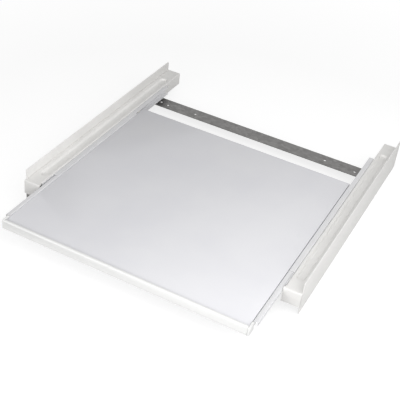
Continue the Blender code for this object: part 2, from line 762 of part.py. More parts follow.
hole_radius = SCREW_DIAMETER / 2 + HOLE_CLEARANCE
bar_screw_places = []
shelf_screw_places = []
for side in (LEFT, RIGHT):
    side_plate(side)
    channel = ledge_channel(side)
    runner = fixed_runner(side)
    drawer = drawer_runner(side, shelf_slide)

    end_cap_corners = [
        (SHELF_FRONT_Y, lip_bottom, END_CAP_RADIUS),
        (SHELF_FRONT_Y + END_CAP_DEPTH, lip_bottom, END_CAP_RADIUS),
        (SHELF_FRONT_Y + END_CAP_DEPTH, lip_top, END_CAP_RADIUS),
        (SHELF_FRONT_Y, lip_top, END_CAP_RADIUS),
    ]
    cap_low = side * (PANEL_X + SEAT_GAP)
    cap_high = cap_low + side * END_CAP_THICKNESS
    flat_plate(
        side_name("end_cap", side), end_cap_corners, cap_low, cap_high, WHITE_PLASTIC, shelf_slide,
        END_CAP_EDGE,
    )

    # Front roller on the fixed runner's web, with its axle's head towards the shelf
    head_x = DRAWER_WEB_X + ROLLER_SIDE_GAP + AXLE_HEAD
    roller_x = head_x + SEAT_GAP + FRONT_ROLLER_WIDTH / 2
    place = (side * roller_x, FRONT_ROLLER_Y, FRONT_ROLLER_Z)
    roller(
        side_name("front_roller", side), FRONT_ROLLER_DIAMETER, FRONT_ROLLER_WIDTH, place, (1, 0, 0)
    )
    shank = RUNNER_OUTER_X - head_x
    place = (side * head_x, FRONT_ROLLER_Y, FRONT_ROLLER_Z)
    axle(side_name("front_axle", side), shank, place, (-side, 0, 0))
    place = (side * RUNNER_WEB_X, FRONT_ROLLER_Y, FRONT_ROLLER_Z)
    cut(runner, pin_cutter(
        side_name("cut_front_axle", side), [place], (1, 0, 0), AXLE_DIAMETER / 2 + HOLE_CLEARANCE,
        RUNNER_SHEET + 2 * CUT_OVERRUN, steps=SMALL_ROUND_STEPS * 2,
    ))

    # Rear roller on the drawer runner's web, with its axle's head towards the rail
    roller_x = DRAWER_WEB_X + ROLLER_SIDE_GAP + REAR_ROLLER_WIDTH / 2
    place = (side * roller_x, REAR_ROLLER_Y, REAR_ROLLER_Z)
    roller(
        side_name("rear_roller", side), REAR_ROLLER_DIAMETER, REAR_ROLLER_WIDTH, place, (1, 0, 0),
        shelf_slide,
    )
    head_x = roller_x + REAR_ROLLER_WIDTH / 2 + SEAT_GAP
    shank = head_x - PANEL_X - SEAT_GAP
    place = (side * head_x, REAR_ROLLER_Y, REAR_ROLLER_Z)
    axle(side_name("rear_axle", side), shank, place, (side, 0, 0), shelf_slide)
    place = (side * DRAWER_WEB_X, REAR_ROLLER_Y, REAR_ROLLER_Z)
    cut(drawer, pin_cutter(
        side_name("cut_rear_axle", side), [place], (1, 0, 0), AXLE_DIAMETER / 2 + HOLE_CLEARANCE,
        RUNNER_SHEET + CUT_OVERRUN, steps=SMALL_ROUND_STEPS * 2,
    ))

    # Flush rivets between the fixed runner and the rail's inner wall
    rivet_z = (RUNNER_TOP + RUNNER_BOTTOM) / 2
    heads = []
    for number, share in enumerate(RUNNER_RIVET_SHARES, 1):
        y = RUNNER_FRONT_Y + share * RUNNER_LENGTH
        heads.append((side * RUNNER_WEB_X, y, rivet_z))
        runner_rivet(f"runner_rivet_{number}" + side_name("", side), heads[-1], (side, 0, 0))
    sink_centres = [(x + side * RUNNER_SHEET / 2, y, z) for x, y, z in heads]
    slope = (RIVET_HEAD_DIAMETER - RIVET_DIAMETER) / 2 / RUNNER_SHEET
    spread = slope * SEAT_GAP
    cut(runner, pin_cutter(
        side_name("cut_rivet_sinks", side), sink_centres, (side, 0, 0),
        RIVET_HEAD_DIAMETER / 2 + SEAT_GAP + spread,
        RUNNER_SHEET + 2 * SEAT_GAP,
        RIVET_DIAMETER / 2 + SEAT_GAP - spread,
        SMALL_ROUND_STEPS,
    ))
    cut(runner, pin_cutter(
        side_name("cut_rivet_holes", side), sink_centres, (1, 0, 0), RIVET_DIAMETER / 2 + HOLE_CLEARANCE,
        RUNNER_SHEET + CUT_OVERRUN, steps=SMALL_ROUND_STEPS,
    ))
    wall_holes = [(side * (WALL_X + LEDGE_SHEET / 2), y, z) for x, y, z in heads]
    cut(channel, pin_cutter(
        side_name("cut_wall_holes", side), wall_holes, (1, 0, 0), RIVET_DIAMETER / 2 + HOLE_CLEARANCE,
        LEDGE_SHEET + CUT_OVERRUN, steps=SMALL_ROUND_STEPS,
    ))

    # Screws that hold the bar under the rails' bottom flanges
    places = []
    for number in (0, 1):
        x = side * (WALL_X + BAR_SCREW_INSET + number * BAR_SCREW_SPACING)
        places.append((x, BAR_Y, BAR_BOTTOM))
        shank = BOX_UNDERSIDE + LEDGE_SHEET + BAR_SCREW_RISE - BAR_BOTTOM
        countersunk_screw(f"bar_screw_{number + 1}" + side_name("", side), shank, places[-1], (0, 0, 1))
    bar_screw_places += places
    flange_holes = [(x, y, BOX_UNDERSIDE + LEDGE_SHEET / 2) for x, y, z in places]
    cut(channel, pin_cutter(
        side_name("cut_flange_holes", side), flange_holes, (0, 0, 1), hole_radius,
        LEDGE_SHEET + CUT_OVERRUN, steps=SMALL_ROUND_STEPS,
    ))

    # Screws that hold the drawer runner under the shelf
    places = []
    for number, share in enumerate(SHELF_SCREW_SHARES, 1):
        x = side * (PANEL_X - SHELF_FLANGE / 2)
        y = DRAWER_FRONT_Y + share * DRAWER_RUNNER_LENGTH
        places.append((x, y, SHELF_FLANGE_BOTTOM - SEAT_GAP))
        screw(
            f"shelf_screw_{number}" + side_name("", side), SHELF_SCREW_DEPTH, places[-1], (0, 0, 1),
            shelf_slide,
        )
    shelf_screw_places += places
    strip_holes = [(x, y, SHELF_FLANGE_BOTTOM + RUNNER_SHEET / 2) for x, y, z in places]
    cut(drawer, pin_cutter(
        side_name("cut_strip_holes", side), strip_holes, (0, 0, 1), hole_radius,
        RUNNER_SHEET + SEAT_GAP, steps=SMALL_ROUND_STEPS,
    ))

cut(rear_bar, pin_cutter(
    "cut_bar_screw_holes", [(x, y, bar_middle) for x, y, z in bar_screw_places], (0, 0, 1), hole_radius,
    bar_cut_length, steps=SMALL_ROUND_STEPS,
))
# Each cone narrows as fast as it rises, so a cutter that starts lower starts as much wider.
sink_depth = (BAR_SCREW_HEAD_DIAMETER - SCREW_DIAMETER) / 2
cut(rear_bar, pin_cutter(
    "cut_bar_screw_sinks",
    [(x, y, z + (sink_depth - SEAT_GAP) / 2) for x, y, z in bar_screw_places],
    (0, 0, 1),
    BAR_SCREW_HEAD_DIAMETER / 2 + 2 * SEAT_GAP,
    sink_depth + SEAT_GAP,
    SCREW_DIAMETER / 2 + SEAT_GAP,
    SMALL_ROUND_STEPS,
))

# Pilot holes reach a little deeper into the board than the screws do.
pilot_top = SHELF_FLANGE_BOTTOM - SEAT_GAP + SHELF_SCREW_DEPTH + SEAT_GAP
pilot_bottom = SHELF_BOTTOM - CUT_OVERRUN
cut(shelf_panel, pin_cutter(
    "cut_pilot_holes",
    [(x, y, (pilot_top + pilot_bottom) / 2) for x, y, z in shelf_screw_places],
    (0, 0, 1),
    hole_radius,
    pilot_top - pilot_bottom,
    steps=SMALL_ROUND_STEPS,
))
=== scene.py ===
import json
import math

import bmesh
import bpy
import numpy as np
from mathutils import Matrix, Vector


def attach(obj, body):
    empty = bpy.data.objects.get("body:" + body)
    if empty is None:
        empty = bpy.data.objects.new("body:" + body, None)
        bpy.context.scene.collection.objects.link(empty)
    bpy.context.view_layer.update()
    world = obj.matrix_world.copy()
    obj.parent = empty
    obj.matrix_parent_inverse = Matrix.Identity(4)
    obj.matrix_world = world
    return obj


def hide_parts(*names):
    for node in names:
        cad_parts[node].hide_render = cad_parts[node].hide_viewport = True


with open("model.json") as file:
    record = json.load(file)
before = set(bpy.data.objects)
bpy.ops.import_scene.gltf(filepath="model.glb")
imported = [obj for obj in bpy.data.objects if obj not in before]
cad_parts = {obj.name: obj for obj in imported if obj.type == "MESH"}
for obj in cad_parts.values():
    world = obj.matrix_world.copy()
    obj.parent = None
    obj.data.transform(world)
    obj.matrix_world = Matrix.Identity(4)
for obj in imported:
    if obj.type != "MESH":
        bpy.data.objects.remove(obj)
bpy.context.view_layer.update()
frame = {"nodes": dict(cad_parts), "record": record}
nodes = frame["nodes"]
record = frame["record"]
scene = bpy.context.scene
mm = 0.001
sides = {"left": -1, "right": 1}
slotOf = {part["node"]: part["material_slot"] for part in record["subparts"]}
bodyOf = {node: body for body, names in record["behaviour"]["bodies"].items() for node in names}
print("frame loaded:", len(nodes), "nodes")


# Colours and shader nodes

def linearColor(hexColor):
    # sRGB to linear: ((c + 0.055) / 1.055) to the power 2.4 above 0.04045, c / 12.92 below
    values = [int(hexColor[i:i + 2], 16) / 255 for i in (1, 3, 5)]
    return [c / 12.92 if c <= 0.04045 else ((c + 0.055) / 1.055) ** 2.4 for c in values] + [1.0]


def addNode(tree, kind, settings=None, links=None):
    # Adds a node. Settings set its inputs or properties, links join (node, output) to its inputs
    node = tree.nodes.new("ShaderNode" + kind)
    for key, value in (settings or {}).items():
        if isinstance(key, str) and hasattr(node, key) and key not in node.inputs:
            setattr(node, key, value)
        else:
            node.inputs[key].default_value = value
    for key, (source, output) in (links or {}).items():
        tree.links.new(source.outputs[output], node.inputs[key])
    return node


def newMaterial(name):
    material = bpy.data.materials.new(name)
    material.use_nodes = True
    material.node_tree.nodes.clear()
    return material, material.node_tree


def perSize(sizeInMm):
    # Noise scale on Object coordinates in metres that gives one blob per sizeInMm
    return 1000 / sizeInMm


noiseReach = (0.3, 0.7)  # noise keeps near 0.5, mostly between these two


def stretchRange(tree, source, output, low, high):
    # Stretches the part of the noise that is used over low to high, in a straight line
    settings = {"From Min": noiseReach[0], "From Max": noiseReach[1], "To Min": low, "To Max": high}
    return addNode(tree, "MapRange", settings, {"Value": (source, output)})


coatNodes = {
    "patchDetail": 3.0, "grainDetail": 2.0,
    "stops": {"shade": 0.35, "color": 0.65},  # patch noise at which each of the two colours is full
    "depthRadius": (0.004, 0.004, 0.003),  # m that red, green and blue light goes into milky nylon
}


def coatedSurface(name, finish):
    # Paint, film or plastic: two near colours in soft patches, a fine relief and an uneven gloss
    material, tree = newMaterial(name)
    place = addNode(tree, "TexCoord")
    patches = addNode(tree, "TexNoise",
                      {"Scale": perSize(finish["patchMm"]), "Detail": coatNodes["patchDetail"]},
                      {"Vector": (place, "Object")})
    grain = addNode(tree, "TexNoise",
                    {"Scale": perSize(finish["grainMm"]), "Detail": coatNodes["grainDetail"]},
                    {"Vector": (place, "Object")})
    blend = addNode(tree, "ValToRGB", {}, {"Fac": (patches, "Fac")})
    for stop, (tone, position) in enumerate(coatNodes["stops"].items()):
        blend.color_ramp.elements[stop].position = position
        blend.color_ramp.elements[stop].color = linearColor(finish[tone])
    speck = stretchRange(tree, grain, "Fac", 1 - finish["speck"], 1.0)
    tint = addNode(tree, "MixRGB", {"blend_type": "MULTIPLY", "Fac": 1.0},
                   {"Color1": (blend, "Color"), "Color2": (speck, "Result")})
    gloss = stretchRange(tree, patches, "Fac", finish["roughness"] - finish["glossSwing"],
                         finish["roughness"] + finish["glossSwing"])
    relief = addNode(tree, "Bump",
                     {"Strength": finish["relief"], "Distance": finish["reliefMm"] * mm},
                     {"Height": (grain, "Fac")})
    shader = addNode(tree, "BsdfPrincipled",
                     {"IOR": finish["ior"], "Subsurface Weight": finish.get("depth", 0.0),
                      "Subsurface Radius": coatNodes["depthRadius"], "Subsurface Scale": 1.0},
                     {"Base Color": (tint, "Color"), "Roughness": (gloss, "Result"),
                      "Normal": (relief, "Normal")})
    addNode(tree, "OutputMaterial", {}, {"Surface": (shader, "BSDF")})
    return material


zincNodes = {
    "warpSize": 0.6, "warpReach": 0.5,  # of a cell: noise that bends its border, and the push
    "warpDetail": 2.0, "lineDetail": 3.0, "relief": 0.2, "reliefMm": 0.04,
}


def zincSurface(name, finish):
    # Bare zinc: crystal cells of slightly different tone and gloss under fine lines from the mill
    material, tree = newMaterial(name)
    place = addNode(tree, "TexCoord")
    warp = addNode(tree, "TexNoise", {"Scale": perSize(finish["cellMm"] * zincNodes["warpSize"]),
                                      "Detail": zincNodes["warpDetail"]},
                   {"Vector": (place, "Object")})
    bend = finish["cellMm"] * mm * zincNodes["warpReach"]
    bent = addNode(tree, "VectorMath", {"operation": "MULTIPLY_ADD", 1: (bend, bend, bend)},
                   {0: (warp, "Color"), 2: (place, "Object")})
    cells = addNode(tree, "TexVoronoi", {"Scale": perSize(finish["cellMm"])},
                    {"Vector": (bent, "Vector")})
    tone = addNode(tree, "SeparateColor", {}, {"Color": (cells, "Color")})
    along = addNode(tree, "Mapping", {"Scale": finish["lineStretch"]},
                    {"Vector": (place, "Object")})
    lines = addNode(tree, "TexNoise",
                    {"Scale": perSize(finish["lineMm"]), "Detail": zincNodes["lineDetail"]},
                    {"Vector": (along, "Vector")})
    ramp = addNode(tree, "ValToRGB", {}, {"Fac": (tone, "Red")})
    ramp.color_ramp.elements[0].color = linearColor(finish["shade"])
    ramp.color_ramp.elements[1].color = linearColor(finish["color"])
    streak = stretchRange(tree, lines, "Fac", 1 - finish["streak"], 1.0)
    tint = addNode(tree, "MixRGB", {"blend_type": "MULTIPLY", "Fac": 1.0},
                   {"Color1": (ramp, "Color"), "Color2": (streak, "Result")})
    gloss = addNode(tree, "MapRange", {"To Min": finish["roughness"] - finish["glossSwing"],
                                       "To Max": finish["roughness"] + finish["glossSwing"]},
                    {"Value": (tone, "Green")})
    relief = addNode(tree, "Bump",
                     {"Strength": zincNodes["relief"], "Distance": zincNodes["reliefMm"] * mm},
                     {"Height": (lines, "Fac")})
    shader = addNode(tree, "BsdfPrincipled", {"Metallic": 1.0},
                     {"Base Color": (tint, "Color"), "Roughness": (gloss, "Result"),
                      "Normal": (relief, "Normal")})
    addNode(tree, "OutputMaterial", {}, {"Surface": (shader, "BSDF")})
    return material


powderCoat = {  # polyester powder baked on steel sheet: satin warm white with a faint orange peel
    "color": "#EAE9E7", "shade": "#E6E5E3", "patchMm": 70, "grainMm": 2.2, "speck": 0.015,
    "roughness": 0.56, "glossSwing": 0.05, "relief": 0.25, "reliefMm": 0.06, "ior": 1.5,
}
epoxyCoat = {  # epoxy dip on the roller runners: thinner, smoother and a little colder than powder
    "color": "#E0E0E1", "shade": "#DCDCDE", "patchMm": 45, "grainMm": 1.6, "speck": 0.01,
    "roughness": 0.44, "glossSwing": 0.04, "relief": 0.15, "reliefMm": 0.04, "ior": 1.5,
}
melamineFilm = {  # melamine film pressed on board: an even pearl grain, white with a hint of lilac
    "color": "#E1E1E4", "shade": "#DDDDE1", "patchMm": 120, "grainMm": 1.8, "speck": 0.02,
    "roughness": 0.46, "glossSwing": 0.03, "relief": 0.35, "reliefMm": 0.05, "ior": 1.5,
}
whiteAbs = {  # extruded and moulded ABS: satin, brighter than the board it covers
    "color": "#ECECEB", "shade": "#E9E9E8", "patchMm": 60, "grainMm": 1.4, "speck": 0.008,
    "roughness": 0.62, "glossSwing": 0.03, "relief": 0.12, "reliefMm": 0.03, "ior": 1.5,
}
milkyNylon = {  # natural polyamide, injection moulded: milky, light goes a little way in
    "color": "#E8E5DB", "shade": "#E1DDD0", "patchMm": 9, "grainMm": 1.0, "speck": 0.01,
    "roughness": 0.4, "glossSwing": 0.05, "relief": 0.1, "reliefMm": 0.02, "ior": 1.53,
    "depth": 0.15,
}
galvanisedStrip = {  # hot dip galvanised strip: dull grey, small spangle, mill lines along it
    "color": "#8B8A89", "shade": "#7A7978",
    "cellMm": 7, "lineMm": 2.5, "lineStretch": (0.2, 1.0, 1.0),
    "streak": 0.14, "roughness": 0.52, "glossSwing": 0.05,
}
brightZinc = {  # electroplated zinc on small fasteners: bright, nearly even
    "color": "#CBCCCE", "shade": "#BFC0C1",
    "cellMm": 2.5, "lineMm": 0.6, "lineStretch": (1.0, 1.0, 1.0),
    "streak": 0.05, "roughness": 0.28, "glossSwing": 0.05,
}
materials = {
    "white_powder_coat": coatedSurface("powderCoatedSteel", powderCoat),
    "white_epoxy": coatedSurface("epoxyCoatedSteel", epoxyCoat),
    "white_melamine": coatedSurface("melamineFacedBoard", melamineFilm),
    "white_plastic": coatedSurface("extrudedAbs", whiteAbs),
    "natural_nylon": coatedSurface("mouldedNylon", milkyNylon),
    "galvanised_steel": zincSurface("galvanisedSteelStrip", galvanisedStrip),
    "zinc_plated_steel": zincSurface("zincPlatedSteel", brightZinc),
}
for name, obj in nodes.items():
    obj.data.materials.clear()
    obj.data.materials.append(materials[slotOf[name]])
print("finishes made:", len(materials))


# Shapes as arrays. All sizes are in mm, for the right hand piece; the left one is its mirror image.

def unit(vector):
    return vector / np.linalg.norm(vector)


def roundedPath(corners, closed=False, steps=6):
    # Corners (a, b, radius): each is cut back by radius / tan(half angle) and swept round a centre
    points = []
    places = np.array([corner[:2] for corner in corners], float)
    count = len(corners)
    for i, corner in enumerate(corners):
        here = places[i]
        radius = corner[2] if len(corner) > 2 else 0
        if not radius or (not closed and i in (0, count - 1)):
            points.append(here[None])
            continue
        back = unit(places[i - 1] - here)
        ahead = unit(places[(i + 1) % count] - here)
        half = math.acos(float(np.clip(back @ ahead, -1, 1))) / 2
        centre = here + unit(back + ahead) * radius / math.sin(half)
        first = here + back * radius / math.tan(half) - centre
        last = here + ahead * radius / math.tan(half) - centre
        share = np.linspace(0, 1, steps + 1)[:, None]
        swing = math.pi - 2 * half
        points.append(centre + (np.sin((1 - share) * swing) * first + np.sin(share * swing) * last)
                      / math.sin(swing))
    return np.concatenate(points)


def gridFaces(rows, columns, keep=None, wrap=False):
    # Quads between neighbours of a rows by columns grid. Cells that keep rules out are dropped, and
    # wrap joins the last column to the first
    across = columns if wrap else columns - 1
    row, column = np.meshgrid(np.arange(rows - 1), np.arange(across), indexing="ij")
    beside = (column + 1) % columns
    quads = np.stack([row * columns + column, (row + 1) * columns + column,
                      (row + 1) * columns + beside, row * columns + beside], -1)
    if keep is not None:
        quads = quads[keep]
    return quads.reshape(-1, 4).tolist()


def inwardNormals(outline):
    # At each point of a closed outline: the mean of its two edge normals, stretched so that both
    # edges move in by one unit
    ahead = np.roll(outline, -1, 0) - outline
    ahead /= np.linalg.norm(ahead, axis=1, keepdims=True)
    normal = np.stack([-ahead[:, 1], ahead[:, 0]], 1)
    before = np.roll(normal, 1, 0)
    following = np.roll(outline, -1, 0)
    area = np.sum(outline[:, 0] * following[:, 1] - outline[:, 1] * following[:, 0])
    turn = 1 if area > 0 else -1
    return turn * (normal + before) / (1 + np.sum(normal * before, 1, keepdims=True))


def plateShape(outline, low, high, edge, steps=3):
    # A flat outline with rounded rims: at angle t a ring moves in by edge * (1 - sin t) and stands
    # edge * (1 - cos t) above the face; one flat face closes each side
    angles = np.linspace(0, math.pi / 2, steps + 1)
    inset = np.concatenate([edge * (1 - np.sin(angles)), edge * (1 - np.sin(angles[::-1]))])
    lift = edge * (1 - np.cos(angles))
    rise = np.concatenate([low + lift, high - lift[::-1]])
    rings = outline[None] + inset[:, None, None] * inwardNormals(outline)[None]
    height = np.broadcast_to(rise[:, None, None], rings.shape[:2] + (1,))
    points = np.concatenate([rings, height], -1)
    count = len(outline)
    total = len(inset) * count
    faces = gridFaces(len(inset), count, wrap=True)
    faces += [list(range(count)), list(range(total - count, total))]
    return points.reshape(-1, 3), faces


def turnedShape(profile, steps=64):
    # A profile of (radius, height) turned about the height axis: (r cos t, r sin t, h)
    turn = np.linspace(0, 2 * math.pi, steps, endpoint=False)
    radius, height = profile[:, 0, None], profile[:, 1, None]
    points = np.stack([radius * np.cos(turn), radius * np.sin(turn), height + 0 * turn], -1)
    return points.reshape(-1, 3), gridFaces(len(profile), steps, wrap=True)


def foldedStrip(path, stations, cutAway=None):
    # A folded line (x, z) carried along Y. From each cell's middle, cutAway(x, y, z) says what is
    # punched out
    x = np.broadcast_to(path[None, :, 0], (len(stations), len(path)))
    z = np.broadcast_to(path[None, :, 1], x.shape)
    y = np.broadcast_to(np.asarray(stations, float)[:, None], x.shape)
    points = np.stack([x, y, z], -1)
    keep = None
    if cutAway is not None:
        middle = (points[:-1, :-1] + points[1:, 1:]) / 2
        keep = ~cutAway(middle[..., 0], middle[..., 1], middle[..., 2])
    return points.reshape(-1, 3), gridFaces(len(stations), len(path), keep)


def joined(*shapes):
    # Several (points, faces) shapes as one
    points, faces, count = [], [], 0
    for somePoints, someFaces in shapes:
        points.append(somePoints)
        faces += [[index + count for index in face] for face in someFaces]
        count += len(somePoints)
    return np.concatenate(points), faces


def placed(shape, axes, at=(0, 0, 0)):
    points, faces = shape
    return points @ np.array(axes, float) + np.array(at, float), faces


pieces = []
finishing = {"weld": 0.002, "roundAbove": 50, "roundSteps": 2}  # mm, degrees, faces across an edge


def makePiece(name, shape, node, side=1, sheet=0, edge=0, sharp=35, replaced=True):
    # Puts a shape in a mesh, with doubles merged and closed shapes turned outwards. A sheet
    # thickness goes on the inside of an open shape, and edge rounds what is sharper than the limit
    points, faces = shape
    points = points * mm * np.array([side, 1, 1])
    mesh = bpy.data.meshes.new(name)
    mesh.from_pydata(points.tolist(), [], [face[::-1] for face in faces] if side < 0 else faces)
    bm = bmesh.new()
    bm.from_mesh(mesh)
    bmesh.ops.remove_doubles(bm, verts=bm.verts, dist=finishing["weld"] * mm)
    if not sheet:
        bmesh.ops.recalc_face_normals(bm, faces=bm.faces)
    bm.to_mesh(mesh)
    bm.free()
    mesh.shade_smooth()
    mesh.set_sharp_from_angle(angle=math.radians(sharp))
    mesh.materials.append(materials[slotOf[node]])
    piece = bpy.data.objects.new(name, mesh)
    scene.collection.objects.link(piece)
    if sheet:
        thickness = piece.modifiers.new("sheet", "SOLIDIFY")
        thickness.thickness = sheet * mm
        thickness.offset = -1
        thickness.use_even_offset = True
    if edge:
        rounding = piece.modifiers.new("edges", "BEVEL")
        rounding.width = edge * mm
        rounding.segments = finishing["roundSteps"]
        rounding.limit_method = "ANGLE"
        rounding.angle_limit = math.radians(finishing["roundAbove"])
        rounding.harden_normals = True
    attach(piece, bodyOf[node])
    if replaced:
        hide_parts(node)
    pieces.append(name)


alongX = ((0, 1, 0), (0, 0, 1), (1, 0, 0))  # a shape's flat lies in YZ and its height runs along X
alongY = ((1, 0, 0), (0, 0, 1), (0, 1, 0))  # flat in XZ, height along Y
alongZ = ((1, 0, 0), (0, 1, 0), (0, 0, 1))  # flat in XY, height along Z


# Rails

sidePlate = {
    "outer": 300.0, "sheet": 1.5, "front": -222.5, "back": 354.5, "height": 73.0,
    "frontRadius": 3.0, "backRadius": 5.0, "footRadius": 0.8, "edge": 0.7,
}


def makeSidePlate(name, side):
    look = sidePlate
    outline = roundedPath([
        (look["front"], 0, look["footRadius"]),
        (look["back"], 0, look["footRadius"]),
        (look["back"], look["height"], look["backRadius"]),
        (look["front"], look["height"], look["frontRadius"]),
    ], closed=True)
    shape = plateShape(outline, look["outer"] - look["sheet"], look["outer"], look["edge"])
    makePiece(f"{name}_sheet", placed(shape, alongX), name, side)


ledgeChannel = {
    "legX": 298.4, "wallX": 265.5, "flangeX": 289.5,
    "top": 51.0, "legFoot": 29.0, "underside": 21.6,
    "fold": 2.1, "legFold": 1.3, "sheet": 1.2, "edge": 0.16, "back": 354.5,
    "wallFront": -216.5, "notchFront": -218.0, "notch": 2.7,  # relief notch at each fold's front
    "ear": -221.5, "widen": -222.9, "capFront": -227.5, "capBend": 2.8, "capFoot": 19.5,
    "capInner": 263.7, "capOuter": 300.0,
    "troughX": 280.8, "troughHalf": 9.3, "troughDepth": 4.2, "troughDraft": 4.2,
    "troughFront": -193.5, "troughBack": 308.5,
}
ledgeGrid = {  # the ledge's grid points: counts across, and places along Y in mm
    "acrossDraft": 9, "acrossFloor": 7, "nearFront": -205.0, "nearBack": 330.0, "margin": 2,
    "roundEnd": 14, "roundSteps": 20, "middle": (-170, 290, 20.0),
    "level": 0.001,  # how far under the top a point still counts as on the ledge
}


def troughDrop(x, y):
    # With d the distance inside the trough's long oval mouth, the drop is
    # depth * (1 - cos(pi * d / draft)) / 2, and the full depth once d passes the draft
    look = ledgeChannel
    low = look["troughFront"] + look["troughHalf"]
    high = look["troughBack"] - look["troughHalf"]
    inside = look["troughHalf"] - np.hypot(x - look["troughX"], y - np.clip(y, low, high))
    share = np.clip(inside / look["troughDraft"], 0, 1)
    return look["troughDepth"] * (1 - np.cos(math.pi * share)) / 2


def makeLedgeChannel(name, side):
    look, grid = ledgeChannel, ledgeGrid
    centre, half, draft = look["troughX"], look["troughHalf"], look["troughDraft"]
    outerNotch, innerNotch = look["legX"] - look["notch"], look["wallX"] + look["notch"]
    flat = np.concatenate([
        [outerNotch, (outerNotch + centre + half) / 2],
        np.linspace(centre + half, centre + half - draft, grid["acrossDraft"]),
        np.linspace(centre + half - draft, centre - half + draft, grid["acrossFloor"])[1:-1],
        np.linspace(centre - half + draft, centre - half, grid["acrossDraft"]),
        [innerNotch],
    ])
    top = look["top"]
    before = roundedPath([(look["legX"], look["legFoot"]), (look["legX"], top, look["legFold"]),
                          (outerNotch, top)])
    after = roundedPath([
        (innerNotch, top), (look["wallX"], top, look["fold"]),
        (look["wallX"], look["underside"], look["fold"]), (look["flangeX"], look["underside"]),
    ])
    middle = np.stack([flat, 0 * flat + top], 1)
    section = np.concatenate([before[:-1], middle, after[1:]])
    troughFront, troughBack = look["troughFront"], look["troughBack"]
    stations = np.concatenate([
        [look["wallFront"], grid["nearFront"], troughFront - grid["margin"]],
        np.linspace(troughFront, troughFront + grid["roundEnd"], grid["roundSteps"]),
        np.arange(*grid["middle"]),
        np.linspace(troughBack - grid["roundEnd"], troughBack, grid["roundSteps"]),
        [troughBack + grid["margin"], grid["nearBack"], look["back"]],
    ])
    points, faces = foldedStrip(section, stations)
    onLedge = points[:, 2] > top - grid["level"]
    points[:, 2] -= np.where(onLedge, troughDrop(points[:, 0], points[:, 1]), 0)

    # The front end: the ledge runs on between its two notches, widens and turns down as the cap
    down = roundedPath([
        (look["capFront"], look["capFoot"]), (look["capFront"], top, look["capBend"]),
        (look["widen"], top),
    ])
    level = [[look[key], top] for key in ("ear", "notchFront", "wallFront")]
    way = np.concatenate([down, level])
    columns = np.concatenate([
        [look["capOuter"], look["legX"]], flat, [look["wallX"], look["capInner"]],
    ])
    y = np.broadcast_to(way[:, 0, None], (len(way), len(columns)))
    z = np.broadcast_to(way[:, 1, None], y.shape)
    x = np.broadcast_to(columns[None], y.shape)
    front = np.stack([x, y, z], -1)
    middleX, middleY = (x[1:, 1:] + x[:-1, :-1]) / 2, (y[1:, 1:] + y[:-1, :-1]) / 2
    gone = (middleX > look["legX"]) & (middleY > look["widen"])
    gone |= (middleX < look["wallX"]) & (middleY > look["ear"])
    gone |= ((middleX > outerNotch) | (middleX < innerNotch)) & (middleY > look["notchFront"])
    cap = (front.reshape(-1, 3), gridFaces(len(way), len(columns), ~gone))
    shape = joined((points, faces), cap)
    makePiece(f"{name}_sheet", shape, name, side, sheet=look["sheet"], edge=look["edge"])


fixedRunner = {
    "mouthX": 255.2, "outerX": 265.2, "bottom": 31.0, "top": 50.7,
    "fold": 1.6, "sheet": 1.1, "edge": 0.18,
    "front": -217.5, "back": 279.5, "liftOutEnd": -176.5, "windowEnd": -193.5,
    "between": (-60.0, 60.0, 180.0),  # stations along the plain middle
    "tabX": (257.2, 263.2), "tabTop": 34.6, "tabs": ((-123.6, -122.5), (259.5, 260.6)),
    "tabSink": 0.1, "tabRadius": 0.8, "tabEdge": 0.15,
}


def makeFixedRunner(name, side):
    look = fixedRunner
    path = roundedPath([
        (look["mouthX"], look["bottom"]), (look["outerX"], look["bottom"], look["fold"]),
        (look["outerX"], look["top"], look["fold"]), (look["mouthX"], look["top"]),
    ])
    webStart = look["outerX"] - look["fold"]
    height = (look["top"] + look["bottom"]) / 2

    def cutAway(x, y, z):
        liftOut = (z > height) & (y < look["liftOutEnd"])
        window = (z < height) & (y < look["windowEnd"])
        return (x < webStart) & (liftOut | window)

    stations = [look["front"], look["windowEnd"], look["liftOutEnd"]]
    stations += [*look["between"], look["back"]]
    shape = foldedStrip(path, stations, cutAway)
    makePiece(f"{name}_strip", shape, name, side, sheet=look["sheet"], edge=look["edge"])
    low, high = look["tabX"]
    foot = look["bottom"] + look["sheet"] - look["tabSink"]
    outline = roundedPath([
        (low, foot), (high, foot),
        (high, look["tabTop"], look["tabRadius"]), (low, look["tabTop"], look["tabRadius"]),
    ], closed=True)
    tabs = [placed(plateShape(outline, start, end, look["tabEdge"], 2), alongY)
            for start, end in look["tabs"]]
    makePiece(f"{name}_stop_tabs", joined(*tabs), name, side, replaced=False)


# Shelf

drawerRunner = {
    "flangeX": 240.6, "webX": 254.4, "lipX": 262.1, "flangeZ": 31.1, "hookZ": 48.1, "lipFoot": 40.8,
    "fold": 1.3, "sheet": 1.1, "edge": 0.18, "front": -333.4, "back": 155.5, "hookEnd": 129.5,
    "hookStart": 0.3,  # outwards from the web, where the cut of the hook begins
    "between": (-200.0, -80.0, 40.0),  # stations along the plain middle
}


def makeDrawerRunner(name, side):
    look = drawerRunner
    path = roundedPath([
        (look["flangeX"], look["flangeZ"]), (look["webX"], look["flangeZ"], look["fold"]),
        (look["webX"], look["hookZ"], look["fold"]), (look["lipX"], look["hookZ"], look["fold"]),
        (look["lipX"], look["lipFoot"]),
    ])

    def cutAway(x, y, z):
        return (x > look["webX"] + look["hookStart"]) & (y > look["hookEnd"])

    stations = [look["front"], *look["between"], look["hookEnd"], look["back"]]
    shape = foldedStrip(path, stations, cutAway)
    makePiece(f"{name}_strip", shape, name, side, sheet=look["sheet"], edge=look["edge"])


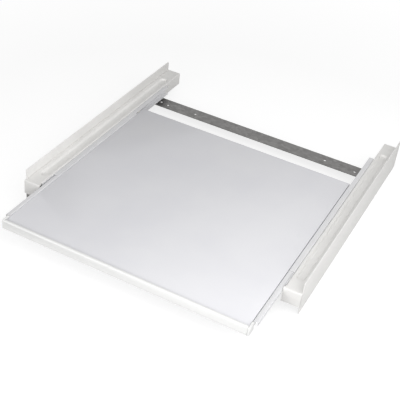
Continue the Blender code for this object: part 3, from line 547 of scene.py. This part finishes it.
shelfPanel = {
    "half": 252.5, "front": -352.4, "back": 157.5, "bottom": 32.5, "top": 48.5, "arris": 0.4,
    "band": 0.9, "bandArris": 0.2, "seam": 0.5, "seamDepth": 1.2,  # edge band and its open joint
    "bandLip": 0.1, "boardLip": 0.15, "side": 0.15,  # rounding at the joint's two rims and the sides
}


def makeShelfPanel():
    # The board's section (y, z) with the joint of its edge band as a narrow groove, carried along X
    look = shelfPanel
    front, back, bottom, top = look["front"], look["back"], look["bottom"], look["top"]
    arris, bandArris = look["arris"], look["bandArris"]
    joint = back - look["band"]
    floor = top - look["seamDepth"]
    section = roundedPath([
        (front, bottom, arris), (back, bottom, bandArris), (back, top, bandArris),
        (joint, top, look["bandLip"]), (joint, floor), (joint - look["seam"], floor),
        (joint - look["seam"], top, look["boardLip"]), (front, top, arris),
    ], closed=True, steps=3)
    shape = plateShape(section, -look["half"], look["half"], look["side"], 2)
    makePiece("shelf_board", placed(shape, alongX), "shelf_panel")


frontMoulding = {
    "half": 253.0, "front": -354.5, "top": 50.6, "bottom": 30.4, "sheet": 1.8, "radius": 3.0,
    "topLip": 6.2, "bottomLip": 12.0, "lipSteps": 7, "edge": 0.12, "sharp": 45,
}


def makeFrontMoulding():
    # A C section with round lips, as one closed loop carried along X
    look = frontMoulding
    sheet, radius = look["sheet"], look["radius"]
    front, top, bottom = look["front"], look["top"], look["bottom"]
    lip = sheet / 2
    topTip, bottomTip = front + look["topLip"] - lip, front + look["bottomLip"] - lip
    outer = roundedPath([
        (topTip, top), (front, top, radius), (front, bottom, radius), (bottomTip, bottom),
    ], steps=8)
    inner = roundedPath([
        (bottomTip, bottom + sheet), (front + sheet, bottom + sheet, radius - sheet),
        (front + sheet, top - sheet, radius - sheet), (topTip, top - sheet),
    ], steps=8)
    turn = np.linspace(-math.pi / 2, math.pi / 2, look["lipSteps"])[1:-1]
    lower = np.stack([bottomTip + lip * np.cos(turn), bottom + lip + lip * np.sin(turn)], 1)
    upper = np.stack([topTip + lip * np.cos(turn), top - lip + lip * np.sin(turn)], 1)
    loop = np.concatenate([outer, lower, inner, upper])
    shape = placed(plateShape(loop, -look["half"], look["half"], look["edge"], 1), alongX)
    makePiece("front_moulding_profile", shape, "front_moulding", sharp=look["sharp"])


endCap = {
    "inner": 253.3, "outer": 257.3, "front": -354.5, "depth": 20.5, "top": 50.6, "bottom": 30.4,
    "radius": 3.0, "edge": 1.0,
}


def makeEndCap(name, side):
    look = endCap
    back = look["front"] + look["depth"]
    outline = roundedPath([
        (look["front"], look["bottom"], look["radius"]), (back, look["bottom"], look["radius"]),
        (back, look["top"], look["radius"]), (look["front"], look["top"], look["radius"]),
    ], closed=True)
    shape = plateShape(outline, look["inner"], look["outer"], look["edge"], 4)
    makePiece(f"{name}_moulding", placed(shape, alongX), name, side)


# Rear bar

rearBar = {
    "half": 292.0, "y": (234.0, 271.3), "z": (19.3, 21.3), "edge": 0.25,
    "box": 4.75, "cells": 8,  # half width and cells of the square patch round each hole
    "sinkLeast": 0.4,  # least depth over which a hole changes its radius
    # holes: x, y, radius above, radius below; the screw holes are sunk from below
    "holes": ((165.0, 252.65, 3.1, 3.1), (237.0, 249.15, 3.1, 3.1), (257.0, 252.65, 3.1, 3.1),
              (273.0, 252.65, 2.2, 4.1), (282.5, 252.65, 2.2, 4.1)),
}


def makeRearBar():
    # Both faces are one grid with a square patch left out round each hole. Rings of four times the
    # patch's cells run from its border to the circle, each point along its own way from the middle
    look = rearBar
    (front, back), (bottom, top) = look["y"], look["z"]
    holes = np.array(sorted((side * x, *rest) for side in (-1, 1) for x, *rest in look["holes"]))
    cells = look["cells"]
    steps = np.linspace(-look["box"], look["box"], cells + 1)
    x = np.concatenate([[-look["half"]], (holes[:, :1] + steps).ravel(), [look["half"]]])
    middle = np.concatenate([holes[:1, 1], np.repeat(holes[:, 1], cells + 1), holes[-1:, 1]])
    y = np.concatenate([[0 * x + front], middle[None] + steps[:, None], [0 * x + back]])
    x = np.broadcast_to(x, y.shape)
    row, column = np.meshgrid(np.arange(len(y) - 1), np.arange(y.shape[1] - 1), indexing="ij")
    inPatch = (row > 0) & (row < len(y) - 2) & ((column - 1) % (cells + 1) < cells)
    faces = gridFaces(*y.shape, ~inPatch)
    shapes = [(np.stack([x, y, 0 * y + z], -1).reshape(-1, 3), faces) for z in (bottom, top)]
    grid = np.stack([x, y], -1)
    border = np.concatenate([grid[0, :-1], grid[:-1, -1], grid[-1, :0:-1], grid[:0:-1, 0]])
    wall = np.concatenate([np.column_stack([border, 0 * border[:, 0] + z]) for z in (bottom, top)])
    shapes.append((wall, gridFaces(2, len(border), wrap=True)))
    low, rising, high = 0 * steps[:-1] - look["box"], steps[:-1], 0 * steps[:-1] + look["box"]
    square = np.concatenate([np.stack([rising, low], 1), np.stack([high, rising], 1),
                             np.stack([-rising, high], 1), np.stack([low, -rising], 1)])
    arm = square / np.linalg.norm(square, axis=1, keepdims=True)
    for holeX, holeY, above, below in holes:
        sink = bottom + max(below - above, look["sinkLeast"])
        rings = ((square, bottom), (arm * below, bottom), (arm * above, sink), (arm * above, top),
                 (square, top))
        points = np.concatenate([np.column_stack([ring + (holeX, holeY), 0 * ring[:, 0] + z])
                                 for ring, z in rings])
        shapes.append((points, gridFaces(len(rings), len(square), wrap=True)))
    makePiece("rear_bar_strip", joined(*shapes), "rear_bar", edge=look["edge"])


# Rollers, axles, rivets and screws

rollers = {  # middle (x, y, z), radius, width
    "front_roller": {"at": (258.9, -205.5, 38.0), "radius": 9.8, "width": 5.2},
    "rear_roller": {"at": (258.2, 143.5, 40.7), "radius": 8.3, "width": 6.4},
}
rollerShape = {
    "bore": 2.6, "boss": 4.2, "rim": 2.6, "recess": 0.7, "slope": 0.4, "edge": 0.8, "small": 0.2,
    "steps": 72, "sharp": 50,
}


def makeRoller(name, node, side):
    look, form = rollers[name], rollerShape
    # Half of the section (radius, height) has bore, boss, recess, rim and tread. Its mirror image
    # closes it
    outer, half, small = look["radius"], look["width"] / 2, form["small"]
    floor, rim = half - form["recess"], outer - form["rim"]
    upper = [(form["bore"], half, small), (form["boss"], half, small),
             (form["boss"] + form["slope"], floor, small), (rim, floor, small),
             (rim + form["slope"], half, small), (outer, half, form["edge"])]
    loop = upper + [(radius, -height, edge) for radius, height, edge in reversed(upper)]
    profile = roundedPath(loop, closed=True, steps=4)
    profile = np.concatenate([profile, profile[:1]])
    shape = placed(turnedShape(profile, form["steps"]), alongX, look["at"])
    makePiece(f"{node}_wheel", shape, node, side, sharp=form["sharp"])


axles = {  # place under the head, the side of it that the head is on, length of the shank
    "front_axle": {"at": (256.0, -205.5, 38.0), "head": -1, "shank": 9.2},
    "rear_axle": {"at": (261.7, 143.5, 40.7), "head": 1, "shank": 8.4},
}
axleShape = {
    "radius": 2.3, "headRadius": 4.0, "head": 1.0, "rim": 0.35, "chamfer": 0.3,
    "domeSteps": 9, "steps": 40,
}


def makeAxle(name, node, side):
    # The head is a low dome: height = head - (head - rim) * (r / headRadius) squared
    look, form = axles[name], axleShape
    r = np.linspace(0, form["headRadius"], form["domeSteps"])
    rise = form["head"] - (form["head"] - form["rim"]) * (r / form["headRadius"]) ** 2
    dome = np.stack([r, rise], 1)
    shank = [(form["headRadius"], 0), (form["radius"], 0),
             (form["radius"], form["chamfer"] - look["shank"]),
             (form["radius"] - form["chamfer"], -look["shank"]), (0, -look["shank"])]
    shape = turnedShape(np.concatenate([dome, shank]), form["steps"])
    turn = ((0, 1, 0), (0, 0, 1), (look["head"], 0, 0))
    makePiece(f"{node}_stud", placed(shape, turn, look["at"]), node, side)


runnerRivet = {"x": 264.1, "z": 40.85, "y": (-172.77, 40.94, 257.135), "steps": 32}
rivetProfile = (  # from the axis, and depth behind the runner's face
    (0, 0.2), (0.7, 0.2), (0.85, -0.12), (2.6, -0.15), (2.8, -0.05), (2.8, 0.1),  # dimple and head
    (1.7, 0.9), (1.7, 2.9),  # shank
    (2.7, 2.9), (2.8, 3.1), (2.8, 3.5), (2.3, 4.0), (1.5, 4.3), (0, 4.3),  # closed tail
)


def makeRivet(node, side, y):
    shape = turnedShape(np.array(rivetProfile), runnerRivet["steps"])
    at = (runnerRivet["x"], y, runnerRivet["z"])
    makePiece(f"{node}_shank", placed(shape, alongX, at), node, side)


crossScrew = {
    "shelf_screw": {"radius": 1.9, "headRadius": 4.0, "head": 1.8, "shank": 11.0, "sunk": False},
    "bar_screw": {"radius": 1.9, "headRadius": 3.5, "head": 0.0, "shank": 10.5, "sunk": True},
}
screwCut = {
    "columns": 48, "sharp": 40,
    "pitch": 1.6, "depth": 0.45, "perTurn": 6, "taper": 3.6,  # thread
    "arm": 2.1, "slot": 0.5, "slotEnd": 0.6, "wall": 0.15, "armFade": 3, "recess": 1.1,  # cross
    "beyond": 0.2, "rings": 12, "dome": 0.25,  # face: margin round the cross, rings, fall outwards
    "rimIn": 0.5, "bevel": 0.12, "rimDeep": 0.5, "rimEnd": 0.8, "sunkNeck": 0.1,  # its rim
}
screwPlaces = {  # under the head; the point is upwards
    "shelf_screw": ((246.8, -298.52, 30.8), (246.8, -95.66, 30.8), (246.8, 107.2, 30.8)),
    "bar_screw": ((273.0, 252.65, 19.33), (282.5, 252.65, 19.33)),
}


def screwShape(look):
    # One grid from the middle of the head to the point. On the head the cross is pressed in where
    # the smaller of |x| and |y| is under the slot, which narrows along the arm. On the shank the
    # distance from the axis is radius - depth * |2 * frac(z / pitch - t / 2 pi) - 1|, and the
    # taper brings it down to nothing
    form = screwCut
    columns = form["columns"]
    turn = np.linspace(0, 2 * math.pi, columns, endpoint=False)
    r = np.concatenate([np.linspace(0, form["arm"] + form["beyond"], form["rings"]),
                        [look["headRadius"] - form["rimIn"]]])
    face = -look["head"] + (form["dome"] * (r / look["headRadius"]) ** 2 if look["head"] else 0 * r)
    x, y = np.abs(r[:, None] * np.cos(turn)), np.abs(r[:, None] * np.sin(turn))
    longer, shorter = np.maximum(x, y), np.minimum(x, y)
    arm = np.clip((form["arm"] - longer) / form["arm"], 0, 1)
    slot = form["slot"] * (form["slotEnd"] + (1 - form["slotEnd"]) * arm)
    wall = np.clip((slot - shorter) / form["wall"], 0, 1)
    pressed = form["recess"] * wall * np.minimum(1, arm * form["armFade"])
    headR = np.broadcast_to(r[:, None], pressed.shape)
    headZ = face[:, None] + pressed
    top = look["headRadius"]
    if look["sunk"]:
        neck = top - look["radius"] + form["sunkNeck"]
        rim = [(top, 0.0), (top, form["bevel"]), (look["radius"], neck)]
    else:
        rim = [(top - form["bevel"], -look["head"] + form["rimDeep"]),
               (top, -look["head"] + form["rimEnd"]), (top, 0.0), (look["radius"], 0.0)]
    rim = np.array(rim)
    z = np.arange(rim[-1, 1], look["shank"], form["pitch"] / form["perTurn"])[1:]
    phase = z[:, None] / form["pitch"] - turn[None] / (2 * math.pi)
    cutIn = form["depth"] * np.abs(2 * (phase % 1) - 1)
    shrink = np.minimum(1, (look["shank"] - z) / form["taper"])[:, None]
    radius = np.concatenate([headR, np.broadcast_to(rim[:, :1], (len(rim), columns)),
                             (look["radius"] - cutIn) * shrink, np.zeros((1, columns))])
    height = np.concatenate([headZ, np.broadcast_to(rim[:, 1:], (len(rim), columns)),
                             np.broadcast_to(z[:, None], cutIn.shape),
                             np.full((1, columns), look["shank"])])
    points = np.stack([radius * np.cos(turn), radius * np.sin(turn), height], -1)
    return points.reshape(-1, 3), gridFaces(len(radius), columns, wrap=True)


makeShelfPanel()
makeFrontMoulding()
makeRearBar()
for sideName, side in sides.items():
    makeSidePlate(f"side_plate_{sideName}", side)
    makeLedgeChannel(f"ledge_channel_{sideName}", side)
    makeFixedRunner(f"fixed_runner_{sideName}", side)
    makeDrawerRunner(f"drawer_runner_{sideName}", side)
    makeEndCap(f"end_cap_{sideName}", side)
    for name in rollers:
        makeRoller(name, f"{name}_{sideName}", side)
    for name in axles:
        makeAxle(name, f"{name}_{sideName}", side)
    for number, y in enumerate(runnerRivet["y"], 1):
        makeRivet(f"runner_rivet_{number}_{sideName}", side, y)
    for name, places in screwPlaces.items():
        for number, at in enumerate(places, 1):
            node = f"{name}_{number}_{sideName}"
            shape = placed(screwShape(crossScrew[name]), alongZ, at)
            makePiece(f"{node}_thread", shape, node, side, sharp=screwCut["sharp"])
print("pieces made:", len(pieces))


# Floor, light and camera

floorLook = {
    "height": -0.4, "half": 12000.0,  # mm
    "near": 0.77, "far": 1.0,
    "share": 0.33,
    "fade": (0.7, 2.2),  # m from the middle over which the glow grows
    "bounce": "#BABABA",
}


def seenDirectly(tree, ray):
    # 1 for camera, glossy and transmission rays, so metal and the eye meet the same pale room
    first = addNode(tree, "Math", {"operation": "MAXIMUM"},
                    {0: (ray, "Is Camera Ray"), 1: (ray, "Is Glossy Ray")})
    return addNode(tree, "Math", {"operation": "MAXIMUM"},
                   {0: (first, "Value"), 1: (ray, "Is Transmission Ray")})


def makeFloor():
    look = floorLook
    half, z = look["half"] * mm, look["height"] * mm
    mesh = bpy.data.meshes.new("floor")
    corners = [(-half, -half, z), (half, -half, z), (half, half, z), (-half, half, z)]
    mesh.from_pydata(corners, [], [(0, 1, 2, 3)])
    floor = bpy.data.objects.new("floor", mesh)
    scene.collection.objects.link(floor)
    material, tree = newMaterial("paleFloor")
    material.cycles.emission_sampling = "NONE"  # the glow is for the eye only, not a lamp
    ray = addNode(tree, "LightPath")
    place = addNode(tree, "TexCoord")
    away = addNode(tree, "VectorMath", {"operation": "LENGTH"}, {0: (place, "Object")})
    glow = addNode(tree, "MapRange", {"From Min": look["fade"][0], "From Max": look["fade"][1],
                                      "To Min": look["near"], "To Max": look["far"]},
                   {"Value": (away, "Value")})
    share = look["share"]
    lit = addNode(tree, "BsdfDiffuse", {"Color": (share, share, share, 1)})
    own = addNode(tree, "Emission", {"Color": (1, 1, 1, 1)}, {"Strength": (glow, "Result")})
    seen = addNode(tree, "AddShader", {}, {0: (lit, "BSDF"), 1: (own, "Emission")})
    other = addNode(tree, "BsdfDiffuse", {"Color": linearColor(look["bounce"])})
    mix = addNode(tree, "MixShader", {},
                  {0: (seenDirectly(tree, ray), "Value"), 1: (other, "BSDF"), 2: (seen, "Shader")})
    addNode(tree, "OutputMaterial", {}, {"Surface": (mix, "Shader")})
    mesh.materials.append(material)


worldLook = {"fill": 0.32, "seen": 1.0}


def makeWorld():
    world = bpy.data.worlds.new("paleRoom")
    scene.world = world
    world.use_nodes = True
    tree = world.node_tree
    tree.nodes.clear()
    ray = addNode(tree, "LightPath")
    fill = addNode(tree, "Background", {"Color": (1, 1, 1, 1), "Strength": worldLook["fill"]})
    seen = addNode(tree, "Background", {"Color": (1, 1, 1, 1), "Strength": worldLook["seen"]})
    direct = seenDirectly(tree, ray)
    mix = addNode(tree, "MixShader", {},
                  {0: (direct, "Value"), 1: (fill, "Background"), 2: (seen, "Background")})
    addNode(tree, "OutputWorld", {}, {"Surface": (mix, "Shader")})


lamps = {  # place, aim and size of the disk in m
    "wideLamp": {"place": (0.554, -0.228, 0.617), "aim": (0, 0, 0), "size": 1.7, "watts": 8.7},
    "frontRightLamp": {"place": (0.2, -1.4, 0.42), "aim": (0, -0.1, 0), "size": 0.7, "watts": 4.9},
    "frontLeftLamp": {"place": (-0.4, -1.35, 0.5), "aim": (0, -0.1, 0), "size": 0.7, "watts": 3.1},
    "leftLowLamp": {"place": (-2.5, 0.9, 0.11), "aim": (0, 0, 0.04), "size": 0.16, "watts": 18.0},
}


def makeLamp(name, look):
    light = bpy.data.lights.new(name, "AREA")
    light.shape = "DISK"
    light.size = look["size"]
    light.energy = look["watts"]
    lamp = bpy.data.objects.new(name, light)
    scene.collection.objects.link(lamp)
    direction = Vector(look["aim"]) - Vector(look["place"])
    lamp.location = look["place"]
    lamp.rotation_euler = direction.to_track_quat("-Z", "Y").to_euler()
    lamp.visible_camera = False


cameraLook = {  # place in m, turn in degrees, lens and sensor in mm, clip in m
    "place": (0.57953, -1.36983, 1.07614), "turn": (53.6544, -5.7095, 27.6875),
    "lens": 78.606, "sensor": 36.0, "clip": 60.0,
}


def makeCamera():
    data = bpy.data.cameras.new("photoCamera")
    data.sensor_width = cameraLook["sensor"]
    data.lens = cameraLook["lens"]
    data.clip_end = cameraLook["clip"]
    camera = bpy.data.objects.new("photoCamera", data)
    scene.collection.objects.link(camera)
    camera.location = cameraLook["place"]
    camera.rotation_euler = [math.radians(angle) for angle in cameraLook["turn"]]
    scene.camera = camera


makeFloor()
makeWorld()
for name, look in lamps.items():
    makeLamp(name, look)
makeCamera()
scene.view_settings.view_transform = "Standard"
print("stage set")
